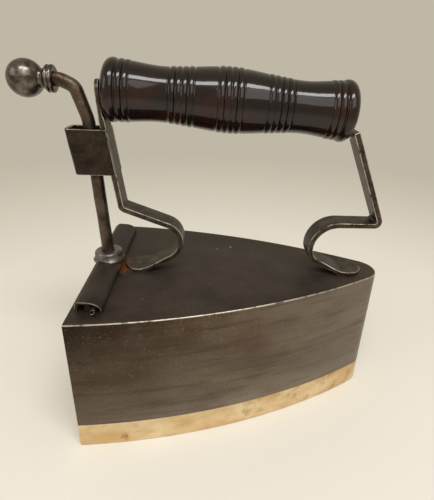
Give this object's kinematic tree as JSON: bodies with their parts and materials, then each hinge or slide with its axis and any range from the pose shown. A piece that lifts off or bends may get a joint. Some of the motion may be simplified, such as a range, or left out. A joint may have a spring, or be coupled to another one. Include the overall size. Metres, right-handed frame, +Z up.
{
  "type": "box iron for lace",
  "caption": "Small box iron for lace with a curved steel box on a brass sole, a lifting rear gate worked by a rod and ball, and a turned wooden handle on two scrolled brackets.",
  "frame": {"origin": "middle of the sole's flat underside: halfway along the box between rear edge and nose, on the centre plane", "axes": "+X towards the nose, +Z up from the sole, +Y to the left side seen from behind"},
  "size_m": [0.1553, 0.0956, 0.1481],
  "materials": {
    "cast_brass": "cast brass, worn and tarnished with dark pits",
    "blued_wall": "dark browned sheet steel with olive and bronze patina and faint brushed streaks",
    "dark_plate": "dark grey-brown sheet steel, dull with small bright specks",
    "dark_iron": "wrought bar, dark brown with bright worn edges",
    "bright_steel": "polished steel, slightly dulled",
    "rusty_steel": "brown-grey steel with orange rust",
    "turned_wood": "very dark reddish-brown varnished wood, glossy",
    "rough_iron": "rough dark cast iron, blackened by the fire"
  },
  "bodies": {
    "iron": {"sole_plate": "cast_brass", "sole_pins": "dark_iron", "side_wall": "blued_wall", "top_plate": "dark_plate", "gate_guide_left": "dark_iron", "gate_guide_right": "dark_iron", "guide_rivets": "dark_iron", "guide_loop": "dark_iron", "rear_bracket": "dark_iron", "front_bracket": "dark_iron", "foot_rivets": "dark_iron", "handle": "turned_wood", "handle_spindle": "dark_iron", "slug": "rough_iron"},
    "lift": {"gate": "dark_plate", "gate_cap": "dark_plate", "cap_hem": "bright_steel", "gate_boss": "rusty_steel", "lift_rod": "rusty_steel", "knob": "bright_steel"}
  },
  "joints": [
    {"name": "gate_lift", "type": "slide", "parent": "iron", "child": "lift", "axis": [-0.0516, 0, 0.9987], "range_m": [0, 0.0353]}
  ]
}
